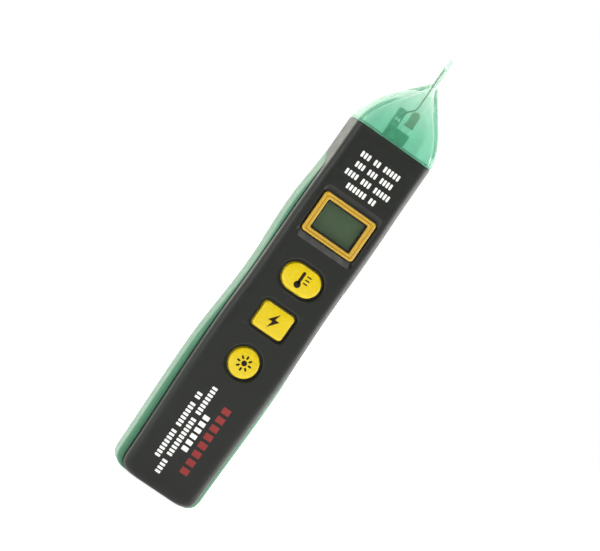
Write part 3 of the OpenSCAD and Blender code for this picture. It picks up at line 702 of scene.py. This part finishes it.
def make_cover():
    """The cover's panel with thumb grooves, a pad inside that clears the cells, and two hinge tabs."""
    w, z0, z1 = size("battery_cover")[0], COVER_LOW[2], HINGE_Z
    mid, inside = (z0 + z1) / 2, BACK_Y - COVER_T
    steps = ((inside, 0.2), (inside + 0.2, 0), (BACK_Y - 0.3, 0), (BACK_Y - 0.09, 0.09), (BACK_Y, 0.32))
    panel = loft("battery_cover_looks", [facing(rounded(w - 2 * d, z1 - z0 - 2 * d, 1.2 - d, 6), y, mid)
                                         for y, d in steps])
    pad = rounded(w - 3.0, z1 - z0 - 12, 1.0)
    combine(panel, slab("pad", pad, inside - 0.7, inside + 0.2, mid), "UNION")
    for side in ("left", "right"):
        x, y, _ = centre("battery_" + side)
        combine(panel, revolve("clear", [(CELL_R + 0.2, 0), (CELL_R + 0.2, 100)], (x, y, 0)))
    grooves, pitch, reach = 5, 1.8, 6
    for i in range(grooves):
        z = z0 + 2.85 + pitch * i
        combine(panel, sweep("groove", [(-reach, BACK_Y + 0.05, z), (reach, BACK_Y + 0.05, z)], 0.5, 16))
    tab_y, tab_z, tab_top = COVER_LOW[1], z1 - 2, COVER_HIGH[2]
    for x in (-6.5, 6.5):
        combine(panel, block("tab", x - 1.5, x + 1.5, tab_y + 0.05, 9.55, tab_z, tab_top, 0.3), "UNION")
        combine(panel, block("root", x - 1.5, x + 1.5, tab_y + 0.1, inside + 0.2, tab_z, z1, 0.2), "UNION")
    return place(panel, COVER, "battery_cover", body="battery_cover", sharp=15)


# ---------------- nose

def nose_base(inset, count=144):
    """The collar's section as evenly spaced points, starting on the right."""
    a, b = FRONT_CORNER
    loop = np.array(section(COLLAR_W / 2 - inset, FRONT_Y + inset, BACK_Y - inset,
                            (max(a - inset, 1), max(b - inset, 1)), max(BACK_R - inset, 1), 24))
    loop = np.vstack([loop, loop[:1]])
    along = np.concatenate([[0], np.cumsum(np.linalg.norm(np.diff(loop, axis=0), axis=1))])
    s = np.linspace(0, along[-1], count, endpoint=False)
    return np.stack([np.interp(s, along, loop[:, 0]), np.interp(s, along, loop[:, 1])], 1)


def nose_ring(t, inset, base):
    """Ring of the nose at t, from 0 at its base to 1 where the tip starts; it rounds off towards the tip."""
    neck = TIP_R + 0.7 - inset / 2
    curve = (1 - t ** 2) ** 1.2
    a0, b0 = np.abs(base).max(0)
    a = neck + (a0 - neck) * curve
    b = neck + (b0 - neck) * curve
    angle = np.arctan2(base[:, 1] / b0, base[:, 0] / a0)
    square = base / (a0, b0)
    circle = np.stack([np.cos(angle), np.sin(angle)], 1)
    mix = t ** 1.3
    shape = (1 - mix) * square + mix * circle
    y = TIP_Y * (b0 - b) / (b0 - neck)
    z = BODY_LEN + (NOSE_H - inset * 1.1) * t
    return np.stack([a * shape[:, 0], y + b * shape[:, 1], np.full(len(base), z)], 1)


def circle_ring(r, z, base):
    angle = np.arctan2(base[:, 1], base[:, 0])
    return np.stack([r * np.cos(angle), TIP_Y + r * np.sin(angle), np.full(len(base), z)], 1)


def nose_outside(base, levels):
    """Rings of the nose's skirt, dome, neck and rounded tip."""
    skirt, neck_z = nose_base(WALL + 0.15), BODY_LEN + NOSE_H
    rings = [at_height(skirt, BODY_LEN - 4), at_height(skirt, BODY_LEN - 0.02)]
    rings += [at_height(nose_base(d), BODY_LEN + h) for h, d in ((0.02, 0.3), (0.1, 0.12), (0.3, 0.02))]
    rings += [nose_ring(max(t, 0.03), 0, base) for t in levels]
    rings += [circle_ring(TIP_R + extra, neck_z + h, base)
              for h, extra in ((0.12, 0.42), (0.35, 0.2), (0.7, 0.06), (1.2, 0.0))]
    rings += [circle_ring(TIP_R * math.cos(q), TIP_TOP - TIP_R + TIP_R * math.sin(q), base)
              for q in np.radians((0, 12, 25, 38, 52, 66, 78, 86))]
    return rings


def nose_inside(base, levels):
    """Rings of the hollow and of the bore that the aerial stands in."""
    mouth, inner, bore = nose_base(WALL + NOSE_WALL - 0.05), nose_base(NOSE_WALL), 0.7
    rings = [at_height(outline, BODY_LEN + h) for outline, h in ((mouth, -5), (mouth, 0.2), (inner, 0.9))]
    rings += [nose_ring(t, NOSE_WALL, inner) - (0, 0, 0.2) for t in levels if 0.07 < t < 0.93]
    rings += [circle_ring(r, z, base) for r, z in (
        (bore, BODY_LEN + NOSE_H - 0.6), (bore, TIP_TOP - 4.5), (bore / 2, TIP_TOP - 4.1))]
    return rings


def make_nose():
    count = 40
    levels = [1 - (1 - i / count) ** 1.4 for i in range(1, count + 1)]
    base = nose_base(0.0)
    nose = loft("nose_cap_looks", nose_outside(base, levels))
    combine(nose, loft("hollow", nose_inside(base, levels)))
    return place(nose, NOSE, "nose_cap", sharp=50)


def make_led():
    x, y, _ = centre("nose_led")
    z0, z1 = low("nose_led")[2], high("nose_led")[2]
    r = 1.5
    rim = [(1.55, 0), (1.8, 0.1), (1.85, 0.25), (1.85, 0.6), (1.75, 0.78), (r, 0.85)]
    dome = [(r * math.cos(q), z1 - r + r * math.sin(q)) for q in np.radians((0, 15, 30, 45, 60, 74, 86))]
    led = revolve("nose_led_looks", [(across, z0 + h) for across, h in rim] + dome, (x, y, 0))
    return place(led, LED, "nose_led")


def make_led_holder():
    a, b = low("led_holder"), high("led_holder")
    holder = block("led_holder_looks", a[0], b[0], a[1], b[1], a[2], b[2], 0.5)
    combine(holder, block("notch", a[0] + 1.6, a[0] + 2.2, a[1] - 1, a[1] + 0.5, b[2] - 3.2, b[2] + 1, 0.1))
    return place(holder, HOLDER, "led_holder")


def make_aerial():
    """The wire leaves the board's tongue, bends over to the middle and stands in the tip."""
    a, b = low("antenna_wire"), high("antenna_wire")
    x, y, tip_x = a[0] + AERIAL_R, b[1] - AERIAL_R, -0.35
    path = smooth_path([(x, y, a[2]), (x, y, a[2] + 2), (x + 1.2, (y + TIP_Y) / 2, a[2] + 4.8),
                        (tip_x - 0.5, TIP_Y, a[2] + 6.4), (tip_x, TIP_Y, a[2] + 8), (tip_x, TIP_Y, b[2] - 8),
                        (tip_x, TIP_Y, b[2] - 4), (tip_x, TIP_Y, b[2])])
    return place(sweep("antenna_wire_looks", path, AERIAL_R), WIRE, "antenna_wire")


# ---------------- display and keys

def make_display_frame():
    """A rounded bar all round the window, with a shallow groove along its middle.

    Each step of the profile is a share of the way in from the outer to the inner outline, and a depth.
    """
    w, _, h = size("lcd_frame") - 2 * FRAME_FLANGE
    outer, inner = np.array(rounded(w, h, 1.3, 10)), np.array(rounded(VIEW_W, VIEW_H, 0.5, 10))
    outer_side = ((0.0, 1.9), (0.0, 0.62), (0.02, 0.38), (0.07, 0.17), (0.15, 0.04), (0.24, 0.0))
    groove = ((0.32, 0.05), (0.38, 0.24), (0.44, 0.45), (0.52, 0.45), (0.58, 0.22), (0.66, 0.08))
    inner_side = ((0.76, 0.04), (0.86, 0.12), (0.94, 0.30), (1.0, 0.55), (1.0, 1.15), (0.68, 1.15),
                  (0.68, 1.9))
    rings = [facing(outer * (1 - s) + inner * s, low("lcd_frame")[1] + depth, LCD_Z)
             for s, depth in outer_side + groove + inner_side]
    return place(hoop("lcd_frame_looks", rings), AMBER, "lcd_frame", sharp=50)


def make_window():
    """The clear pane, and a black border on its back that paints the shade along the window's edge inside the
    frame.
    """
    a, b = low("lcd_window"), high("lcd_window")
    pane = block("lcd_window_looks", a[0], b[0], a[1], b[1], a[2], b[2], 0.3)
    place(pane, WINDOW, "lcd_window")
    # A black sheet behind the pane's edge: painted shade where the frame's opening falls dark.
    outer = rounded(b[0] - a[0], b[2] - a[2], 0.4)
    inner = rounded(VIEW_W - 1.3, VIEW_H - 1.2, 0.3)
    rings = [facing(outline, b[1] + depth, LCD_Z)
             for outline, depth in ((outer, 0.02), (inner, 0.02), (inner, 0.2), (outer, 0.2))]
    place(hoop("window_painted_shade", rings), SHADE_BLACK)


def make_display():
    """The display glass, in its two layers."""
    w, h = size("lcd_panel")[0], size("lcd_panel")[2]
    steps = ((0.0, 0.6), (0.12, 0.5), (0.14, 0.06), (0.2, 0.0), (0.9, 0.0), (0.95, 0.1), (1.05, 0.1),
             (1.1, 0.0), (1.9, 0.0), (2.0, 0.06))
    rings = [facing(rounded(w - 2 * d, h - 2 * d, 0.3, 4), low("lcd_panel")[1] + depth, LCD_Z)
             for depth, d in steps]
    place(loft("lcd_panel_looks", rings), LCD, "lcd_panel")


def make_key(name):
    """A yellow key: a flange inside, straight sides, a rounded rim and a slightly crowned top."""
    y, z = low(name)[1], centre(name)[2]
    inside = high(name)[1]
    flange_y = inside - 0.35
    steps = [(flange_y, KEY_FLANGE), (flange_y - 0.8, KEY_FLANGE), (flange_y - 0.82, 0.0), (y + 0.75, 0.0),
             (y + 0.5, -0.06), (y + 0.3, -0.2), (y + 0.17, -0.42), (y + 0.1, -0.8), (y + 0.06, -1.5),
             (y + 0.03, -2.6), (y + 0.02, -3.8)]
    key = loft(name + "_looks", [facing(key_outline(name, grow), d, z) for d, grow in steps])
    post = [(2.0, flange_y - 0.2), (2.0, inside - 0.08), (1.9, inside)]
    combine(key, revolve("post", post, (0, 0, z), "y"), "UNION")
    return place(key, YELLOW, name, body=name)


def ink(outlines, y0, y1, z=0.0):
    """Flat printed shapes, each from a front-view outline, joined into one mesh."""
    verts, faces = [], []
    for outline in outlines:
        n, base = len(outline), len(verts)
        for y in (y0, y1):
            verts += [(px, y, pz + z) for px, pz in outline]
        faces += [tuple(base + k for k in f) for f in ring_faces(2, n)]
        faces += [tuple(base + k for k in range(n)), tuple(base + n + k for k in range(n))]
    return verts, faces


def disc(r, cx=0.0, cz=0.0, n=28):
    angles = [2 * math.pi * k / n for k in range(n)]
    return [(cx + r * math.cos(a), cz + r * math.sin(a)) for a in angles]


def bar(x0, z0, x1, z1, w):
    """A straight stroke of width w between two points, with rounded ends."""
    along, r = math.degrees(math.atan2(z1 - z0, x1 - x0)), w / 2
    return arc(x1, z1, r, r, along - 90, 7, 180) + arc(x0, z0, r, r, along + 90, 7, 180)


def sun_sign():
    """A disc and eight short rays."""
    inner, outer, width = 1.85, 2.5, 0.72
    ways = [(math.cos(a), math.sin(a)) for a in np.radians(range(0, 360, 45))]
    return [disc(1.0)] + [bar(inner * c, inner * s, outer * c, outer * s, width) for c, s in ways]


def thermometer_sign():
    """A bulb, a tube and three marks beside it."""
    marks = [bar(1.0, z, 2.3, z, 0.5) for z in (2.2, 0.9, -0.4)]
    return [disc(1.25, -0.6, -1.9), bar(-0.6, -1.0, -0.6, 2.5, 1.15)] + marks


def voltage_sign():
    """A bolt."""
    return [[(0.9, 3.1), (-2.0, -0.4), (-0.35, -0.4), (-1.0, -3.1), (2.0, 0.6), (0.3, 0.6)]]


def make_sign(name, shapes):
    y, z = low(name)[1], centre(name)[2]
    verts, faces = ink(shapes, y + 0.005, y + 0.3, z)
    return place(mesh_object(name + "_sign", verts, faces), INK_DARK, body=name)


def blocks(total, words):
    """Start and end of each small block in a printed line; words lists how many blocks stand together."""
    pitch = total / (sum(words) + len(words) - 1)
    starts, at = [], 0
    for count in words:
        starts += [(at + k) * pitch for k in range(count)]
        at += count + 1
    return [(start - total / 2, start + pitch * 0.66 - total / 2) for start in starts]


def print_lines(name, lines, material):
    """Placeholder print: rows of plain blocks where the real object carries words."""
    shapes, corner = [], 0.22
    for across, x, z, total, height, words in lines:
        for start, end in blocks(total, words):
            w, mid = end - start, (start + end) / 2
            if across:
                shapes.append([(px + x + mid, pz + z) for px, pz in rounded(w, height, corner, 3)])
            else:
                shapes.append([(px + x, pz + z - mid) for px, pz in rounded(height, w, corner, 3)])
    verts, faces = ink(shapes, FRONT_Y - 0.03, FRONT_Y + 0.3)
    return place(mesh_object(name, verts, faces), material)


RATING_TOP = BODY_LEN - 8.6
RATING_PITCH = 3.85
RATING_LINES = ((16.2, (3, 2, 5)), (15.3, (3, 3, 4)), (18.4, (4, 3, 5)), (12.0, (6, 2)))


def make_print():
    """Four lines across the face above the display, and four along it near the tail.

    A line holds whether it runs across, its middle, its length and height, and its groups of blocks.
    """
    rating = [(True, 0, RATING_TOP - RATING_PITCH * i, total, 2.1, words)
              for i, (total, words) in enumerate(RATING_LINES)]
    grip = [(False, 0.2, 23.4, 15.0, 2.4, (6,)), (False, -3.1, 22.8, 35.2, 2.0, (8, 11, 4)),
            (False, -6.4, 23.0, 26.3, 2.0, (2, 7, 8))]
    print_lines("white_print", rating + grip, INK_WHITE)
    print_lines("red_print", [(False, 4.6, 22.8, 27.9, 3.1, (8,))], INK_RED)


# ---------------- tail, cells, contacts

def make_ir_parts():
    """The sensor's tube, with a flared mouth and a step that holds it, and the domed lens."""
    x, y, _ = centre("ir_tube")
    z0, z1 = low("ir_tube")[2], high("ir_tube")[2]
    step = 1.9
    profile = [(3.5, z0), (3.85, z0), (4.0, z0 + 0.15), (4.0, step), (4.7, step), (4.7, z1), (2.4, z1),
               (2.4, z0 + 1.4), (2.9, z0 + 0.9), (3.5, z0)]
    place(revolve("ir_tube_looks", profile, (x, y, 0)), DARK_PART, "ir_tube")
    a, b = low("ir_lens")[2], high("ir_lens")[2]
    rim = [(4.0, b), (4.0, a + 0.15), (3.9, a + 0.05)]
    dome = [(2.3 * math.cos(q), a + 0.05 - 0.35 * math.sin(q)) for q in np.radians((0, 20, 40, 60, 80, 88))]
    place(revolve("ir_lens_looks", rim + dome, (x, y, 0)), DARK_LENS, "ir_lens")


def make_cell(name, up):
    """A cell with its sleeve rolled over both ends, its plus cap and a plain coloured band near that cap."""
    x, y, _ = centre(name)
    sign, end = (1, low(name)[2]) if up else (-1, high(name)[2])
    sleeve = [(3.9, 0.12), (4.3, 0.0), (4.9, 0.0), (CELL_R - 0.1, 0.12), (CELL_R, 0.4), (CELL_R, 43.2),
              (CELL_R - 0.1, 43.5), (4.9, 43.62), (4.2, 43.62), (4.0, 43.4)]
    cap = [(2.2, 43.4), (1.95, 43.5), (1.9, 44.2), (1.75, 44.45), (1.5, 44.5)]
    band = [(CELL_R - 0.05, 31), (CELL_R + 0.02, 31), (CELL_R + 0.02, 42.4), (CELL_R - 0.05, 42.4),
            (CELL_R - 0.05, 31)]
    cell = revolve(name + "_looks", [(r, end + sign * h) for r, h in sleeve + cap], (x, y, 0))
    place(cell, JACKET, name)
    cell.data.materials.append(TIN)
    for face in cell.data.polygons:
        h = sign * (face.center[2] / MM - end)
        radius = math.hypot(face.center[0] / MM - x, face.center[1] / MM - y)
        if radius < 4.05 or h > 43.65:
            face.material_index = 1
    place(revolve(name + "_band", [(r, end + sign * h) for r, h in band], (x, y, 0)), BAND)


def plate(name, x0, x1, y0, y1, z0, z1, r):
    """A thin sheet lying across the body, with rounded corners."""
    e = (z1 - z0) * 0.25
    rings = [np.array([(px + (x0 + x1) / 2, py + (y0 + y1) / 2, z)
                       for px, py in rounded(x1 - x0 - 2 * d, y1 - y0 - 2 * d, r, 5)])
             for z, d in ((z0, e), (z0 + e, 0), (z1 - e, 0), (z1, e))]
    return loft(name, rings)


def make_contacts():
    """Sheet-metal contacts with rounded corners; the two at the tip end have a tail to the board."""
    a, b = low("link_contact"), high("link_contact")
    link = plate("link_contact_looks", a[0], b[0], a[1], b[1], a[2], b[2], 1.2)
    place(link, SPRING, "link_contact")
    for name in ("positive_contact", "negative_contact"):
        a, b = low(name), high(name)
        sheet = plate(name + "_looks", a[0], b[0], -1.0, b[1], a[2], b[2], 1.2)
        x = (a[0] + b[0]) / 2
        combine(sheet, plate("tail", x - 1, x + 1, a[1], -0.5, a[2] + 0.02, b[2] - 0.02, 0.15), "UNION")
        place(sheet, SPRING, name)


def cross_slot(turn, quarter_turn):
    """One bar of a cross recess."""
    angle = turn + quarter_turn * math.pi / 2
    along, wide = np.array((math.cos(angle), math.sin(angle))), np.array((-math.sin(angle), math.cos(angle)))
    return [tuple(along * 1.15 * i + wide * 0.22 * j) for i, j in ((1, 1), (-1, 1), (-1, -1), (1, -1))]


def make_screws():
    """Pan-head screws with a cross recess, each turned a little further than the one before."""
    end, seat = low("case_screws")[1], SCREW_SEAT
    shank = [(0.5, end), (0.95, end + 0.9), (0.95, seat)]
    head = [(1.9, seat), (1.9, seat + 0.55), (1.78, seat + 0.9), (1.45, seat + 1.22), (1.0, seat + 1.42),
            (0.5, seat + SCREW_HEAD_T)]
    for i, (x, z) in enumerate(SCREWS):
        screw = revolve("case_screw_%d" % (i + 1), shank + head, (x, 0, z), axis="y", sides=36)
        for quarter_turn in (0, 1):
            combine(screw, slab("slot", cross_slot(0.4 + 0.7 * i, quarter_turn), seat + 0.6, seat + 3, z, x))
        place(screw, STEEL)
        if i == 0:
            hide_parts("case_screws")


def make_solder():
    """The joint that holds the aerial on the board's tongue."""
    foot, y = low("antenna_wire"), low("circuit_board")[1]
    mound = [(1.0, y), (0.95, y - 0.08), (0.6, y - 0.25), (0.42, y - 0.5), (0.3, y - 0.68)]
    place(revolve("aerial_solder", mound, (foot[0] + AERIAL_R, 0, foot[2] + 0.9), "y", 24), TIN)


def make_springs():
    """A conical coil under each cell: turns of wire that narrow from the plate to the cell."""
    turns, steps, wire_r = 4, 28, 0.35
    wide, narrow, height = 3.9, 2.1, 2.8
    for side, up in (("left", 1), ("right", -1)):
        x, y, _ = centre("battery_" + side)
        start = high("link_contact")[2] + 0.4 if up > 0 else low("negative_contact")[2] - 0.4
        path = []
        for f in np.linspace(0, 1, turns * steps + 1):
            r, angle = wide - (wide - narrow) * f, 2 * math.pi * turns * f
            path.append((x + r * math.cos(angle), y + r * math.sin(angle), start + up * height * f))
        spring = place(sweep("battery_spring_" + side, path, wire_r, 12), SPRING)
        if up > 0:
            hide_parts("battery_springs")


# ---------------- the pieces

def dress_frame_nodes():
    """CAD nodes that keep their shape get their material."""
    looks = {
        GUIDE: ("backlight_panel",), ELASTOMER: ("zebra_strips",), BOARD: ("circuit_board",),
        CERAMIC: ("board_capacitors",), TIN: ("led_leads", "clock_crystal", "ir_sensor", "sensor_leads"),
        DARK_PART: ("switch_housings", "thermometer_plunger", "voltage_plunger", "light_plunger", "buzzer",
                    "controller_chip", "board_resistors"),
    }
    for material, names in looks.items():
        for name in names:
            mesh = frame["nodes"][name].data
            mesh.materials.clear()
            mesh.materials.append(material)


def build():
    dress_frame_nodes()
    make_front_shell()
    make_rear_shell()
    make_tray()
    make_cover()
    make_nose()
    make_led()
    make_led_holder()
    make_aerial()
    make_display_frame()
    make_window()
    make_display()
    for name, sign in zip(KEYS, (thermometer_sign, voltage_sign, sun_sign)):
        make_key(name)
        make_sign(name, sign())
    make_print()
    make_ir_parts()
    make_cell("battery_left", True)
    make_cell("battery_right", False)
    make_springs()
    make_contacts()
    make_screws()
    make_solder()


# ---------------- studio

ROOM_FRONT = 0.11
ROOM_BACK = 1.85


def make_floor():
    look = Shader(bpy.data.materials.new("floor"))
    look.set({"Base Color": look.blend(look.noise(3), (0.86, 0.86, 0.86), (0.9, 0.9, 0.9)), "Roughness": 0.8,
              "Emission Color": (1, 1, 1), "Emission Strength": 0.8})
    half, z = 12.0, -0.0002
    mesh = bpy.data.meshes.new("floor")
    corners = [(-half, -half, z), (half, -half, z), (half, half, z), (-half, half, z)]
    mesh.from_pydata(corners, [], [(0, 1, 2, 3)])
    mesh.materials.append(look.owner)
    obj = bpy.data.objects.new("floor", mesh)
    bpy.context.scene.collection.objects.link(obj)


def make_world():
    """White for the camera and through clear parts; other rays meet a bright backdrop and a dim room."""
    sky = Shader(bpy.data.worlds.new("studio"))
    bpy.context.scene.world = sky.owner
    depth = sky.add("SeparateXYZ", {"Vector": sky.coords["Generated"]}).outputs["Y"]
    room = sky.ramp(depth, -0.25, 0.75, ROOM_FRONT, ROOM_BACK, interpolation_type="SMOOTHSTEP")
    sky.set({"Color": (0.98, 1.0, 0.90), "Strength": room})
    white = sky.add("Background", {"Color": (1, 1, 1), "Strength": 1})
    rays = sky.add("LightPath").outputs
    seen_white = {0: rays["Is Camera Ray"], 1: rays["Is Transmission Ray"]}
    straight = sky.add("Math", seen_white, operation="MAXIMUM")
    sky.show(sky.mix(straight.outputs[0], sky.main.outputs[0], white.outputs[0]))


def area_light(name, position, target, width, height, watts):
    data = bpy.data.lights.new(name, "AREA")
    data.shape = "RECTANGLE"
    data.size, data.size_y, data.energy = width, height, watts
    obj = bpy.data.objects.new(name, data)
    obj.location = position
    obj.rotation_mode = "QUATERNION"
    obj.rotation_quaternion = (Vector(target) - Vector(position)).to_track_quat("-Z", "Y")
    obj.visible_camera = False
    bpy.context.scene.collection.objects.link(obj)


def make_lights():
    aim = (0, 0, BODY_LEN * MM * 0.6)
    area_light("left_softbox", (-0.95, -0.34, 0.22), aim, 0.5, 0.6, 2.9)
    area_light("right_softbox", (1.0, 0.04, 0.14), aim, 0.90, 0.7, 12)
    area_light("front_top", (0.15, -0.85, 0.82), aim, 0.60, 0.22, 4.2)
    area_light("top_light", (0.1, 0.1, 0.75), aim, 0.4, 0.4, 1.0)


LEAN = math.radians(34.9)
VIEW_AZIMUTH = math.radians(-11)
VIEW_ELEVATION = math.radians(0.6)
LENS = 200
DISTANCE = 1.135
AIM_SHIFT = (-0.15, -1.5)


def make_camera():
    """Level with the object and a little to its left, rolled so that the tester leans to the right."""
    middle = (CAD_BOX[0] + CAD_BOX[1]) / 2
    back = Vector((math.sin(VIEW_AZIMUTH) * math.cos(VIEW_ELEVATION),
                   -math.cos(VIEW_AZIMUTH) * math.cos(VIEW_ELEVATION), math.sin(VIEW_ELEVATION)))
    level_right = Vector((0, 0, 1)).cross(back).normalized()
    level_up = back.cross(level_right)
    right = level_right * math.cos(LEAN) + level_up * math.sin(LEAN)
    up = level_up * math.cos(LEAN) - level_right * math.sin(LEAN)
    data = bpy.data.cameras.new("camera")
    data.lens = LENS
    data.sensor_width = 36
    cam = bpy.data.objects.new("camera", data)
    aim = middle + right * AIM_SHIFT[0] * MM + up * AIM_SHIFT[1] * MM
    turned = Matrix((right, up, back)).transposed().to_4x4()
    cam.matrix_world = Matrix.Translation(aim + back * DISTANCE) @ turned
    bpy.context.scene.collection.objects.link(cam)
    bpy.context.scene.camera = cam


build()
make_floor()
make_world()
make_lights()
make_camera()
bpy.context.scene.view_settings.view_transform = "Standard"
